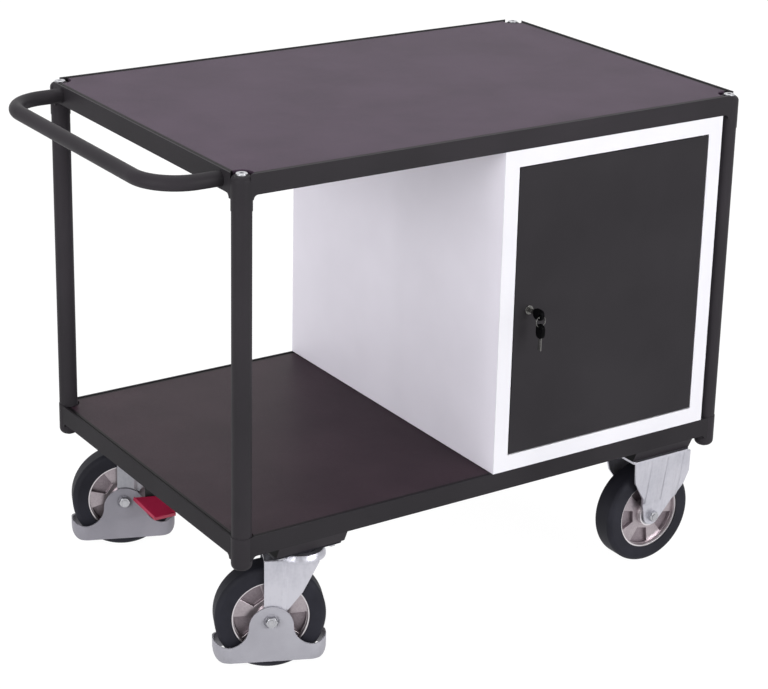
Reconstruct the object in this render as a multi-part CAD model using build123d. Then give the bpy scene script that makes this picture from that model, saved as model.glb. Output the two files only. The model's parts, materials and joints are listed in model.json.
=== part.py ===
from build123d import *
import math
import os

os.makedirs("parts", exist_ok=True)

# Millimetres. X runs along the trolley from the push handle to the cabinet, Y from the door side to the
# back, Z up from the floor. Pieces are drawn centred between the posts and moved to the origin on export.

# Frame
POST_PITCH_X = 1040.0
POST_PITCH_Y = 676.0
POST_D = 35.0
POST_WALL = 2.0
SLEEVE_WALL = 0.8
SLEEVE_CLEAR = 0.15
UPPER_SLEEVE_L = 60.0
UPPER_SLEEVE_ROUND = 9.0
UPPER_END_WALL = 7.5
LOWER_SLEEVE_ROUND = 11.0
LOWER_END_WALL = 9.5
LOWER_SLEEVE_BELOW = 26.0
SLEEVE_TOP_DROP = 4.0
RAIL_H = 36.0
RAIL_FACE_OUT = 17.0
RAIL_FLANGE_T = 4.0
RAIL_LEDGE_T = 4.0
RAIL_LEDGE_REACH = 26.0
RAIL_WELD_R = 8.0
DECK_CLEAR_H = 610.0
BOARD_T = 15.0
BOARD_DROP = 1.0
BOARD_GAP = 2.0

# Corner screws and the threaded inserts in the post ends
SCREW_D = 10.0
SCREW_L = 24.0
UPPER_SCREW_HEAD_D = 20.0
UPPER_SCREW_HEAD_T = 3.5
LOWER_SCREW_HEAD_D = 12.0
LOWER_SCREW_HEAD_T = 2.5
SCREW_HEAD_ROUND = 1.5
SCREW_SOCKET_AF = 7.0
SCREW_SOCKET_DEPTH = 2.2
SCREW_CLEAR = 0.1
INSERT_L = 20.0
INSERT_CLEAR = 0.1

# Push handle
HANDLE_D = 26.9
HANDLE_WALL = 2.0
HANDLE_REACH = 117.0
HANDLE_LEG_PITCH = 594.0
HANDLE_BEND_R = 78.0

# Cross members under the lower deck
CROSS_W = 140.0
CROSS_DEPTH = 34.0
CROSS_WALL = 3.0
CROSS_SETBACK = 16.0
CROSS_BEVEL = 16.0

# Castors: common sizes
PLATE_X = 138.0
FIXED_PLATE_Y = 104.0
SWIVEL_PLATE_Y = 66.0
PLATE_T = 5.0
PLATE_CORNER_R = 8.0
BOLT_SPACING_X = 105.0
BOLT_SPACING_Y = 40.0
BOLT_D = 8.0
BOLT_HEAD_AF = 13.0
BOLT_HEAD_T = 5.3
BOLT_TAIL = 1.5
NUT_T = 6.5
HOLE_CLEAR = 0.5
WHEEL_D = 200.0
TYRE_W = 50.0
TYRE_SHOULDER_W = 9.0
TYRE_SHOULDER_H = 9.0
TYRE_SHOULDER_CROWN = 2.0
TYRE_HEADROOM = 13.0
TYRE_T = 30.0
RIM_W = 46.0
RIM_LIP = 3.0
RIM_PAD_HALF = 15.0
RIM_WEB_HALF = 7.0
RIM_POCKETS = 5
RIM_POCKET_INNER = 33.0
RIM_POCKET_MARGIN = 5.0
RIM_POCKET_SHARE = 0.55
FIXED_RIM_TURN = 40.0
FRONT_SWIVEL_RIM_TURN = -17.0
REAR_SWIVEL_RIM_TURN = 2.0
HUB_D = 48.0
HUB_W = 54.0
HUB_BORE_CLEAR = 1.5
BEARING_D = 42.0
BEARING_W = 12.0
AXLE_D = 20.0
AXLE_END_D = 12.0
AXLE_END_TAIL = 1.0
AXLE_NUT_AF = 19.0
AXLE_NUT_T = 9.0
AXLE_NUT_CHAMFER = 1.6
FORK_T = 4.0
FORK_SIDE_GAP = 2.0
FORK_TIP_ANGLE = 32.0
RUN_CLEAR = 0.05

# Fixed castors on the right
FIXED_X = 425.0
FIXED_Y = 278.0
FIXED_AXLE_BACK = 2.0
FIXED_LEG_BACK = 62.0
FIXED_LEG_FRONT = 75.0
FIXED_KNEE_DROP = 47.0
FIXED_KNEE_BACK = 54.0
FIXED_KNEE_FRONT = 81.0
FIXED_CALF_BACK = 28.0
FIXED_CALF_RISE = 43.0
FIXED_WAIST_X = 73.0
FIXED_WAIST_DROP = 75.0
FIXED_SHIN_X = 57.0
FIXED_SHIN_RISE = 34.0
FIXED_ANKLE_X = 39.0
FIXED_ANKLE_RISE = 14.0
FIXED_TIP_R = 19.0
FIXED_BEND_RISE = 25.0
FIXED_TOP_OUT = 50.0
FLUTE_PITCH = 40.0
FLUTE_X = 12.0
FLUTE_W = 18.0
FLUTE_RISE = 2.0
FLUTE_FOOT = 6.0
FLUTE_L = 112.0

# Swivel castors on the left, with the angles that the wheels stand at
SWIVEL_X = -372.0
SWIVEL_Y = 287.0
SWIVEL_REST_FRONT = -24.0
SWIVEL_REST_REAR = -22.0
TRAIL = 54.0
KINGPIN_D = 16.0
KINGPIN_HEAD_D = 30.0
KINGPIN_HEAD_T = 6.0
RACE_D = 64.0
RACE_T = 3.0
SWIVEL_GAP = 0.3
HEAD_BASE_D = 92.0
HEAD_TOP_D = 84.0
HEAD_H = 9.7
CROWN_LEAD = 85.0
CROWN_EDGE_H = 9.0
CROWN_BEND_R = 4.0
SWIVEL_TIP_R = 13.0
SWIVEL_WAIST_X = 56.0
SWIVEL_WAIST_RISE = 50.0
SWIVEL_CREASE_X = 20.0
SWIVEL_CREASE_W = 7.0
SWIVEL_STEP = 3.0

# Foot guards round the swivel wheels
GUARD_WALL = 3.0
GUARD_PAST_TYRE = 2.0
GUARD_END_R = 33.0
GUARD_BOTTOM_Z = 19.5
GUARD_CORNER_R = 18.0
GUARD_END_Z = 56.0
GUARD_SADDLE_X = 78.0
GUARD_DOME_R = 40.0
GUARD_DOME_RISE = 27.0
GUARD_GROOVE_D = 28.0
GUARD_GROOVE_W = 2.5
GUARD_GROOVE_DEPTH = 1.5

# Brake on the inner side of each swivel castor
BRACKET_T = 4.0
BRACKET_X0 = 41.0
BRACKET_X1 = 69.0
BRACKET_BELOW = 3.0
BRACKET_ABOVE = 58.0
BRACKET_PIN_OUT = 7.0
BRACKET_EAR_R = 4.6
PEDAL_PIN_D = 6.0
PEDAL_PIN_RISE = 1.4
PEDAL_BARREL_D = 10.0
PEDAL_END_GAP = 0.3
PEDAL_SLOPE = 23.0
PEDAL_T = 4.0
PEDAL_LIFT = 5.5
PEDAL_INNER = 8.0
PEDAL_HEEL = -2.0
PEDAL_OUTER = 54.0
PEDAL_NOSE = 45.0
PEDAL_REAR_X0 = 17.0
PEDAL_REAR_X1 = 54.0
PEDAL_FRONT_X0 = 90.0
PEDAL_FRONT_X1 = 96.0
PEDAL_SKIRT = 8.0
PEDAL_SKIRT_T = 3.0
PEDAL_LIP_R = 3.0
SHOE_ARM_W = 16.0
SHOE_ARM_T = 4.0
SHOE_DROP = 18.0
SHOE_H = 16.0
SHOE_T = 6.0
SHOE_GAP = 5.0

# Cabinet on the right half
CABINET_W = 497.0
CABINET_POST_GAP = 8.0
SHEET_T = 1.5
FRAME_BORDER = 31.0
FRAME_DEPTH = 18.0
DOOR_GAP = 2.0
DOOR_DEPTH = 16.0
HINGE_PIN_D = 5.0
HINGE_PIN_L = 16.0
HINGE_HEAD_D = 6.6
HINGE_HEAD_T = 2.0
HINGE_INSET = 10.0
HINGE_DEPTH = 5.0

# Lock and keys
LOCK_INSET = 32.0
LOCK_RISE = 3.0
LOCK_FLANGE_D = 17.0
LOCK_FLANGE_T = 2.0
LOCK_BARREL_D = 15.0
LOCK_BARREL_L = 20.0
LOCK_PLUG_D = 11.0
LOCK_PLUG_PROUD = 0.6
CAM_W = 14.0
CAM_REACH = 36.0
CAM_T = 2.0
CAM_GAP = 1.0
KEY_BLADE_T = 2.2
KEY_BLADE_W = 8.0
KEY_BLADE_IN = 8.0
KEY_NECK = 16.0
KEY_HEAD_L = 26.0
KEY_HEAD_W = 19.0
KEY_HEAD_T = 7.0
KEY_HEAD_R = 8.0
KEY_HEAD_GRIP = 5.0
KEY_HOLE_D = 6.0
KEY_HOLE_INSET = 6.0
KEY_SLOT_CLEAR = 0.1
RING_D = 20.0
RING_WIRE_D = 1.6
RING_CLEAR = 1.0

# Heights and faces worked out from the driving sizes
SLEEVE_BORE = POST_D + 2 * SLEEVE_CLEAR
SLEEVE_D = SLEEVE_BORE + 2 * SLEEVE_WALL
RIM_D = WHEEL_D - 2 * TYRE_T
RIM_POCKET_OUTER = RIM_D / 2 - RIM_POCKET_MARGIN
AXLE_Z = WHEEL_D / 2
CROWN_Z = WHEEL_D + TYRE_HEADROOM
CROWN_TOP_Z = CROWN_Z + FORK_T
HEAD_TOP_Z = CROWN_TOP_Z + HEAD_H
PLATE_Z = HEAD_TOP_Z + SWIVEL_GAP + RACE_T
CASTOR_H = PLATE_Z + PLATE_T
LOWER_RAIL_Z = CASTOR_H + CROSS_DEPTH
LOWER_DECK_Z = LOWER_RAIL_Z + RAIL_H
UPPER_RAIL_Z = LOWER_DECK_Z + DECK_CLEAR_H
UPPER_DECK_Z = UPPER_RAIL_Z + RAIL_H
UPPER_SLEEVE_TOP = UPPER_DECK_Z - SLEEVE_TOP_DROP
LOWER_SLEEVE_BOTTOM = LOWER_RAIL_Z - LOWER_SLEEVE_BELOW
LOWER_SLEEVE_L = LOWER_SLEEVE_BELOW + RAIL_H
POST_BOTTOM = LOWER_SLEEVE_BOTTOM + LOWER_END_WALL
POST_TOP = UPPER_SLEEVE_TOP - UPPER_END_WALL
FACE_X = POST_PITCH_X / 2 + RAIL_FACE_OUT
FACE_Y = POST_PITCH_Y / 2 + RAIL_FACE_OUT
FORK_IN = HUB_W / 2 + FORK_SIDE_GAP
FORK_OUT = FORK_IN + FORK_T
GUARD_HALF_W = FORK_OUT + GUARD_WALL
GUARD_HALF_L = WHEEL_D / 2 + GUARD_PAST_TYRE
GUARD_DOME_Z = AXLE_Z + GUARD_DOME_RISE
BRACKET_Z0 = AXLE_Z - BRACKET_BELOW
BRACKET_Z1 = AXLE_Z + BRACKET_ABOVE
PIN_Y = FORK_OUT + BRACKET_T + BRACKET_PIN_OUT
PEDAL_PIN_Z = AXLE_Z + PEDAL_PIN_RISE
SHOE_ARM_X0 = RIM_D / 2
SHOE_ARM_X1 = SHOE_ARM_X0 + SHOE_ARM_W
SHOE_Z0 = AXLE_Z - SHOE_DROP
CABINET_X1 = POST_PITCH_X / 2 - SLEEVE_D / 2 - CABINET_POST_GAP
CABINET_X0 = CABINET_X1 - CABINET_W
FRONT_Y = -FACE_Y
OPEN_X0 = CABINET_X0 + FRAME_BORDER
OPEN_X1 = CABINET_X1 - FRAME_BORDER
OPEN_Z0 = LOWER_DECK_Z + FRAME_BORDER
OPEN_Z1 = UPPER_RAIL_Z - FRAME_BORDER
DOOR_X0 = OPEN_X0 + DOOR_GAP
DOOR_X1 = OPEN_X1 - DOOR_GAP
DOOR_Z0 = OPEN_Z0 + DOOR_GAP
DOOR_Z1 = OPEN_Z1 - DOOR_GAP
HINGE_X = DOOR_X1 - HINGE_INSET
HINGE_Y = FRONT_Y + HINGE_DEPTH
LOCK_X = DOOR_X0 + LOCK_INSET
LOCK_Z = (DOOR_Z0 + DOOR_Z1) / 2 + LOCK_RISE
PLUG_FRONT_Y = FRONT_Y - LOCK_FLANGE_T - LOCK_PLUG_PROUD
CAM_Y = FRONT_Y + LOCK_BARREL_L + CAM_GAP
KEY_HEAD_Y = FRONT_Y - KEY_NECK
KEY_END_Y = KEY_HEAD_Y - KEY_HEAD_L
KEY_HOLE_Y = KEY_END_Y + KEY_HOLE_INSET
WIRE_DROP = KEY_HOLE_D / 2 - RING_WIRE_D / 2 - RING_CLEAR
RING_PIVOT_Z = LOCK_Z - WIRE_DROP
SPARE_HOLE_Z = RING_PIVOT_Z - RING_D - WIRE_DROP

# The origin lies on the floor below the middle of the whole outline: the handle makes it longer to the
# left, the hanging key deeper to the front, and the rear foot guard a little deeper to the back.
REACH_LEFT = FACE_X + HANDLE_REACH + HANDLE_D / 2
REACH_RIGHT = POST_PITCH_X / 2 + SLEEVE_D / 2
REACH_FRONT = KEY_HEAD_W / 2 - KEY_HOLE_Y
REAR_TURN = math.radians(SWIVEL_REST_REAR)
GUARD_SWING_Y = (GUARD_HALF_L - GUARD_END_R) * abs(math.sin(REAR_TURN))
GUARD_SWING_Y += (GUARD_HALF_W - GUARD_END_R) * math.cos(REAR_TURN) + GUARD_END_R
GUARD_BACK = SWIVEL_Y - TRAIL * math.sin(REAR_TURN) + GUARD_SWING_Y
REACH_BACK = max(POST_PITCH_Y / 2 + SLEEVE_D / 2, GUARD_BACK)
PLACE = Pos((REACH_LEFT - REACH_RIGHT) / 2, (REACH_FRONT - REACH_BACK) / 2, 0)

CORNERS = [(sx, sy) for sx in (-1, 1) for sy in (-1, 1)]


def block(x0, x1, y0, y1, z0, z1):
    """Box between two corners."""
    return Pos((x0 + x1) / 2, (y0 + y1) / 2, (z0 + z1) / 2) * Box(x1 - x0, y1 - y0, z1 - z0)


def rod_z(diameter, z0, z1, x=0.0, y=0.0):
    """Round bar along Z."""
    return Pos(x, y, (z0 + z1) / 2) * Cylinder(diameter / 2, z1 - z0)


def rod_y(diameter, y0, y1, x=0.0, z=0.0):
    """Round bar along Y."""
    return Pos(x, (y0 + y1) / 2, z) * Rot(90, 0, 0) * Cylinder(diameter / 2, y1 - y0)


def rod_x(diameter, x0, x1, y=0.0, z=0.0):
    """Round bar along X."""
    return Pos((x0 + x1) / 2, y, z) * Rot(0, 90, 0) * Cylinder(diameter / 2, x1 - x0)


def hex_z(across_flats, z0, z1, x=0.0, y=0.0):
    """Hexagon bar along Z."""
    outline = RegularPolygon(across_flats / 2, 6, major_radius=False)
    return Pos(x, y, z0) * extrude(outline, z1 - z0)


def upright(outline, y0, y1):
    """Plate between two Y faces whose outline is drawn in X and Z."""
    return Pos(0, y1, 0) * Rot(90, 0, 0) * extrude(outline, y1 - y0)


def lengthways(outline, x0, x1):
    """Bar between two X faces whose section is drawn in Y and Z."""
    return Pos(x0, 0, 0) * extrude(Plane.YZ * outline, x1 - x0)


def both_sides(piece):
    """A piece drawn at the +Y side and its mirror image."""
    return piece + mirror(piece, about=Plane.XZ)


def outline_of(*points):
    """Face inside a closed run of straight lines."""
    return make_face(Polyline(*points, close=True))


def save(name, *pieces):
    """Write the solids of one node, moved to the part's origin."""
    solids = [PLACE * solid for piece in pieces for solid in piece.solids()]
    export_step(solids[0] if len(solids) == 1 else Compound(solids), f"parts/{name}.step")


# Frame

def rail(run_pitch, across_pitch, top_z):
    """Rail along X at the -Y side, cut to the sleeves: an upright rim with a ledge for the board."""
    face = across_pitch / 2 + RAIL_FACE_OUT
    rim_in = face - RAIL_FLANGE_T
    bottom_z = top_z - RAIL_H
    ledge_z = top_z - BOARD_DROP - BOARD_T
    half = run_pitch / 2
    body = block(-half, half, -face, -rim_in, bottom_z, top_z)
    body += block(-half, half, -rim_in, RAIL_LEDGE_REACH - rim_in, ledge_z - RAIL_LEDGE_T, ledge_z)
    root = half - math.sqrt((SLEEVE_D / 2) ** 2 - (RAIL_FACE_OUT - RAIL_FLANGE_T) ** 2)
    weld_z = bottom_z - RAIL_WELD_R
    for end in (-1, 1):
        x0, x1 = sorted((end * (root - RAIL_WELD_R), end * half))
        corner = block(x0, x1, -face, -rim_in, weld_z, bottom_z)
        corner -= rod_y(2 * RAIL_WELD_R, -face, -rim_in, end * (root - RAIL_WELD_R), weld_z)
        body += corner
        body -= rod_z(SLEEVE_D, bottom_z - RAIL_H, top_z + RAIL_H, end * half, -across_pitch / 2)
    return body


def rails(top_z):
    """The four rails of one deck: a long pair and a short pair."""
    long_rail = rail(POST_PITCH_X, POST_PITCH_Y, top_z)
    short_rail = rail(POST_PITCH_Y, POST_PITCH_X, top_z)
    return (long_rail, Rot(0, 0, 180) * long_rail), (Rot(0, 0, -90) * short_rail, Rot(0, 0, 90) * short_rail)


def at_corners(piece):
    """One copy of a piece at each post axis."""
    return [Pos(sx * POST_PITCH_X / 2, sy * POST_PITCH_Y / 2, 0) * piece for sx, sy in CORNERS]


def sleeve(length, rounding, end_wall):
    """Drawn sleeve, open at z = 0 and closed at its rounded top end."""
    body = rod_z(SLEEVE_D, 0, length)
    body = fillet(body.edges().filter_by(GeomType.CIRCLE).sort_by(Axis.Z)[-1], rounding)
    body -= rod_z(SLEEVE_BORE, 0, length - end_wall)
    return body - rod_z(SCREW_D + 2 * SCREW_CLEAR, 0, length)


def corner_screw(head_d, head_t):
    """Socket screw with a flat round head that sits on z = 0 and a shank that hangs below it."""
    head = rod_z(head_d, 0, head_t)
    head = fillet(head.edges().filter_by(GeomType.CIRCLE).sort_by(Axis.Z)[-1], SCREW_HEAD_ROUND)
    head -= hex_z(SCREW_SOCKET_AF, head_t - SCREW_SOCKET_DEPTH, head_t)
    return head + rod_z(SCREW_D, -SCREW_L, 0)


def post_insert():
    """Threaded plug whose outer end is at z = 0."""
    plug = rod_z(POST_D - 2 * POST_WALL - 2 * INSERT_CLEAR, -INSERT_L, 0)
    return plug - rod_z(SCREW_D + 2 * SCREW_CLEAR, -INSERT_L, 0)


def board(top_z):
    """Deck board that fills the rim and is notched round the sleeves."""
    half_x = FACE_X - RAIL_FLANGE_T - BOARD_GAP
    half_y = FACE_Y - RAIL_FLANGE_T - BOARD_GAP
    top = top_z - BOARD_DROP
    body = block(-half_x, half_x, -half_y, half_y, top - BOARD_T, top)
    for notch in at_corners(rod_z(SLEEVE_D + 2 * BOARD_GAP, top - BOARD_T, top)):
        body -= notch
    return body


def push_handle():
    """U of round tube, butted to the left rail's face at its mid height."""
    z = UPPER_RAIL_Z + RAIL_H / 2
    leg = HANDLE_LEG_PITCH / 2
    bar_x = -FACE_X - HANDLE_REACH
    path = FilletPolyline((-FACE_X, -leg, z), (bar_x, -leg, z), (bar_x, leg, z), (-FACE_X, leg, z),
                          radius=HANDLE_BEND_R)
    ring = Circle(HANDLE_D / 2) - Circle(HANDLE_D / 2 - HANDLE_WALL)
    return sweep(Plane(origin=path @ 0, z_dir=path % 0) * ring, path=path)


def bolt_places(plate_x):
    """Plan positions of the castor bolts round two castor plates at one end."""
    rows = {SWIVEL_X: SWIVEL_Y, FIXED_X: FIXED_Y}
    return [(plate_x + bx * BOLT_SPACING_X / 2, side * rows[plate_x] + by * BOLT_SPACING_Y / 2)
            for side in (-1, 1) for bx, by in CORNERS]


def cross_member(plate_x):
    """Pressed trough across the deck, open at the top, with sloping ends under the rails' ledges."""
    slope = CROSS_BEVEL / CROSS_DEPTH
    top_z = LOWER_DECK_Z - BOARD_DROP - BOARD_T - RAIL_LEDGE_T
    bottom_y = FACE_Y - CROSS_SETBACK - CROSS_BEVEL
    top_y = bottom_y + slope * (top_z - CASTOR_H)
    end_wall = CROSS_WALL * math.hypot(1, slope)
    floor_z = CASTOR_H + CROSS_WALL
    floor_y = bottom_y + slope * CROSS_WALL - end_wall
    rim_y = top_y - end_wall
    outer = outline_of((-top_y, top_z), (top_y, top_z), (bottom_y, CASTOR_H), (-bottom_y, CASTOR_H))
    inner = outline_of((-rim_y, top_z), (rim_y, top_z), (floor_y, floor_z), (-floor_y, floor_z))
    half = CROSS_W / 2
    body = upright(outer, -half, half) - upright(inner, CROSS_WALL - half, half - CROSS_WALL)
    body = Pos(plate_x, 0, 0) * Rot(0, 0, 90) * body
    for x, y in bolt_places(plate_x):
        body -= rod_z(BOLT_D + HOLE_CLEAR, CASTOR_H, floor_z, x, y)
    return body


long_rails, short_rails = rails(UPPER_DECK_Z)
save("upper_long_rails", *long_rails)
save("upper_short_rails", *short_rails)
long_rails, short_rails = rails(LOWER_DECK_Z)
save("lower_long_rails", *long_rails)
save("lower_short_rails", *short_rails)

post = rod_z(POST_D, POST_BOTTOM, POST_TOP) - rod_z(POST_D - 2 * POST_WALL, POST_BOTTOM, POST_TOP)
save("corner_posts", *at_corners(post))
upper_sleeve = sleeve(UPPER_SLEEVE_L, UPPER_SLEEVE_ROUND, UPPER_END_WALL)
save("upper_sleeves", *at_corners(Pos(0, 0, UPPER_SLEEVE_TOP - UPPER_SLEEVE_L) * upper_sleeve))
lower_sleeve = Rot(180, 0, 0) * sleeve(LOWER_SLEEVE_L, LOWER_SLEEVE_ROUND, LOWER_END_WALL)
save("lower_sleeves", *at_corners(Pos(0, 0, LOWER_SLEEVE_BOTTOM + LOWER_SLEEVE_L) * lower_sleeve))

upper_screw = corner_screw(UPPER_SCREW_HEAD_D, UPPER_SCREW_HEAD_T)
lower_screw = Rot(180, 0, 0) * corner_screw(LOWER_SCREW_HEAD_D, LOWER_SCREW_HEAD_T)
save("corner_screws", *at_corners(Pos(0, 0, UPPER_SLEEVE_TOP) * upper_screw),
     *at_corners(Pos(0, 0, LOWER_SLEEVE_BOTTOM) * lower_screw))
inserts = at_corners(Pos(0, 0, POST_TOP) * post_insert())
inserts += at_corners(Pos(0, 0, POST_BOTTOM) * Rot(180, 0, 0) * post_insert())
save("post_inserts", *inserts)

save("top_board", board(UPPER_DECK_Z))
save("lower_board", board(LOWER_DECK_Z))
save("push_handle", push_handle())
save("cross_members", cross_member(SWIVEL_X), cross_member(FIXED_X))


# Castors. Each castor is drawn with its wheel axle along Y above the origin and forward along X.

def castor_plate(centre_x, depth):
    """Mounting plate with its bolt holes."""
    plate = extrude(RectangleRounded(PLATE_X, depth, PLATE_CORNER_R), PLATE_T)
    for bx, by in CORNERS:
        plate -= rod_z(BOLT_D + HOLE_CLEAR, 0, PLATE_T, bx * BOLT_SPACING_X / 2, by * BOLT_SPACING_Y / 2)
    return Pos(centre_x, 0, PLATE_Z) * plate


def castor_bolt():
    """Bolt whose head rests on the cross member's floor."""
    under_head = CASTOR_H + CROSS_WALL
    shank = rod_z(BOLT_D, PLATE_Z - NUT_T - BOLT_TAIL, under_head)
    return shank + hex_z(BOLT_HEAD_AF, under_head, under_head + BOLT_HEAD_T)


def castor_nut():
    """Nut under the castor plate."""
    return hex_z(BOLT_HEAD_AF, PLATE_Z - NUT_T, PLATE_Z) - rod_z(BOLT_D, PLATE_Z - NUT_T, PLATE_Z)


def rim_pocket():
    """Tapered pocket between two spokes of the rim, on one side."""
    slope = math.tan(RIM_POCKET_SHARE * math.pi / RIM_POCKETS)
    face = outline_of((RIM_POCKET_INNER, -RIM_POCKET_INNER * slope), (RIM_D / 2, -RIM_D / 2 * slope),
                      (RIM_D / 2, RIM_D / 2 * slope), (RIM_POCKET_INNER, RIM_POCKET_INNER * slope))
    face &= Circle(RIM_POCKET_OUTER)
    return Pos(0, 0, RIM_WEB_HALF) * extrude(face, RIM_PAD_HALF - RIM_WEB_HALF)


def tyre_ring():
    """Tyre with a flat tread, an edge line on each side of it and rounded shoulders."""
    half = TYRE_W / 2
    bore = RIM_D / 2
    tread = WHEEL_D / 2
    edge = half - TYRE_SHOULDER_W
    side = tread - TYRE_SHOULDER_H
    mid_r = (tread + side) / 2 + TYRE_SHOULDER_CROWN * math.sqrt(0.5)
    mid_y = (edge + half) / 2 + TYRE_SHOULDER_CROWN * math.sqrt(0.5)
    section = make_face([*Polyline((side, half), (bore, half), (bore, -half), (side, -half)).edges(),
                         ThreePointArc((side, -half), (mid_r, -mid_y), (tread, -edge)),
                         Line((tread, -edge), (tread, edge)),
                         ThreePointArc((tread, edge), (mid_r, mid_y), (side, half))])
    return revolve(Plane.XZ * section, Axis.Z)


def wheel(rest_turn):
    """Tyre, rim and bearings about the axle, with the rim's spokes turned as they stand at rest."""
    tyre = tyre_ring()
    rim = Cylinder(RIM_D / 2, RIM_W)
    dish = rod_z(RIM_D - 2 * RIM_LIP, RIM_PAD_HALF, RIM_W / 2)
    pockets = [Rot(0, 0, rest_turn + 360 * i / RIM_POCKETS) * rim_pocket() for i in range(RIM_POCKETS)]
    mirrored = [mirror(pocket, about=Plane.XY) for pocket in pockets]
    rim -= [dish, mirror(dish, about=Plane.XY), *pockets, *mirrored]
    rim += Cylinder(HUB_D / 2, HUB_W)
    rim -= Cylinder(AXLE_D / 2 + HUB_BORE_CLEAR, HUB_W)
    seat = rod_z(BEARING_D, HUB_W / 2 - BEARING_W, HUB_W / 2)
    bearing = seat - rod_z(AXLE_D + 2 * RUN_CLEAR, HUB_W / 2 - BEARING_W, HUB_W / 2)
    rim -= [Rot(turn, 0, 0) * seat for turn in (0, 180)]
    stand = Pos(0, 0, AXLE_Z) * Rot(90, 0, 0)
    return stand * tyre, stand * rim, [stand * Rot(turn, 0, 0) * bearing for turn in (0, 180)]


def axle(outside):
    """Stepped axle between the fork legs, with threaded ends out to the given face and its nut."""
    end = outside + AXLE_NUT_T + AXLE_END_TAIL
    return rod_y(AXLE_D, -FORK_IN, FORK_IN, 0, AXLE_Z) + rod_y(AXLE_END_D, -end, end, 0, AXLE_Z)


def axle_nuts(outside):
    """Hexagon nuts on both ends of the axle, with their outer corners turned off."""
    end = outside + AXLE_NUT_T
    turned = rod_z(2 * AXLE_NUT_AF / math.sqrt(3), outside, end)
    turned = chamfer(turned.edges().filter_by(GeomType.CIRCLE).sort_by(Axis.Z)[-1], AXLE_NUT_CHAMFER)
    nut = (hex_z(AXLE_NUT_AF, outside, end) & turned) - rod_z(AXLE_END_D, outside, end)
    return [Pos(0, 0, AXLE_Z) * Rot(turn, 0, 0) * nut for turn in (90, -90)]


def axle_hole(half):
    """Cutter for the axle's threaded ends."""
    return rod_y(AXLE_END_D + HOLE_CLEAR, -half, half, 0, AXLE_Z)


def fixed_leg_sheet(inner, outer):
    """Section of a fixed fork's leg: upright at the axle, then leaning out towards the plate's edge."""
    foot_z = AXLE_Z - FIXED_TIP_R
    bend_z = AXLE_Z + FIXED_BEND_RISE
    lean = FIXED_TOP_OUT - FORK_OUT
    return outline_of((inner, foot_z), (outer, foot_z), (outer, bend_z), (outer + lean, PLATE_Z),
                      (inner + lean, PLATE_Z), (inner, bend_z))


def fixed_fork():
    """Plate with two fluted legs, folded from one sheet; the axle sits behind the plate's middle."""
    bend_z = AXLE_Z + FIXED_BEND_RISE
    knee_z = PLATE_Z - FIXED_KNEE_DROP
    tip = math.radians(FORK_TIP_ANGLE)
    tip_front = (FIXED_TIP_R * math.cos(tip), AXLE_Z - FIXED_TIP_R * math.sin(tip))
    leg = outline_of((-FIXED_LEG_BACK, PLATE_Z), (-FIXED_KNEE_BACK, knee_z),
                     (-FIXED_CALF_BACK, AXLE_Z + FIXED_CALF_RISE), (-FIXED_TIP_R, AXLE_Z), tip_front,
                     (FIXED_ANKLE_X, AXLE_Z + FIXED_ANKLE_RISE), (FIXED_SHIN_X, AXLE_Z + FIXED_SHIN_RISE),
                     (FIXED_WAIST_X, PLATE_Z - FIXED_WAIST_DROP), (FIXED_KNEE_FRONT, knee_z),
                     (FIXED_LEG_FRONT, PLATE_Z))
    leg += Pos(0, AXLE_Z) * Circle(FIXED_TIP_R)
    out = FIXED_TOP_OUT + 2 * FLUTE_RISE
    reach = FIXED_LEG_BACK + FIXED_KNEE_FRONT
    leg_block = upright(leg, 0, out)
    side = leg_block & lengthways(fixed_leg_sheet(FORK_IN, FORK_OUT), -reach, reach)
    in_front = leg_block & lengthways(fixed_leg_sheet(FORK_OUT, FORK_OUT + 2 * FLUTE_RISE), -reach, reach)
    lean = math.degrees(math.atan2(FIXED_TOP_OUT - FORK_OUT, PLATE_Z - bend_z))
    bead_r = (FLUTE_W ** 2 / 4 + FLUTE_RISE ** 2) / (2 * FLUTE_RISE)
    bead = Pos(0, FLUTE_RISE - bead_r, 0) * rod_z(2 * bead_r, FLUTE_FOOT, FLUTE_FOOT + FLUTE_L)
    for i in (-1, 0, 1):
        side += Pos(FLUTE_X + i * FLUTE_PITCH, FORK_OUT, bend_z) * Rot(-lean, 0, 0) * bead & in_front
    return castor_plate(FIXED_AXLE_BACK, FIXED_PLATE_Y) + both_sides(side) - axle_hole(FORK_OUT)


def swivel_plate():
    """Mounting plate with the upper race under it, bored for the kingpin."""
    body = castor_plate(TRAIL, SWIVEL_PLATE_Y) + rod_z(RACE_D, PLATE_Z - RACE_T, PLATE_Z, TRAIL)
    return body - rod_z(KINGPIN_D, PLATE_Z - RACE_T, CASTOR_H, TRAIL)


def kingpin():
    """Rivet that holds the fork up under its plate."""
    under = CROWN_Z - SWIVEL_GAP
    head = rod_z(KINGPIN_HEAD_D, under - KINGPIN_HEAD_T, under, TRAIL)
    return head + rod_z(KINGPIN_D, under, CASTOR_H, TRAIL)


def swivel_leg_sheet():
    """Plan section of a turning fork's leg: a strap over the axle and a gusset that slopes in from it."""
    crease_end = SWIVEL_CREASE_X + SWIVEL_CREASE_W
    set_in = SWIVEL_STEP
    return outline_of((-SWIVEL_TIP_R, FORK_IN), (SWIVEL_CREASE_X, FORK_IN), (crease_end, FORK_IN - set_in),
                      (CROWN_LEAD, FORK_IN - set_in), (CROWN_LEAD, FORK_OUT - set_in),
                      (crease_end, FORK_OUT - set_in), (SWIVEL_CREASE_X, FORK_OUT), (-SWIVEL_TIP_R, FORK_OUT))


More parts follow.
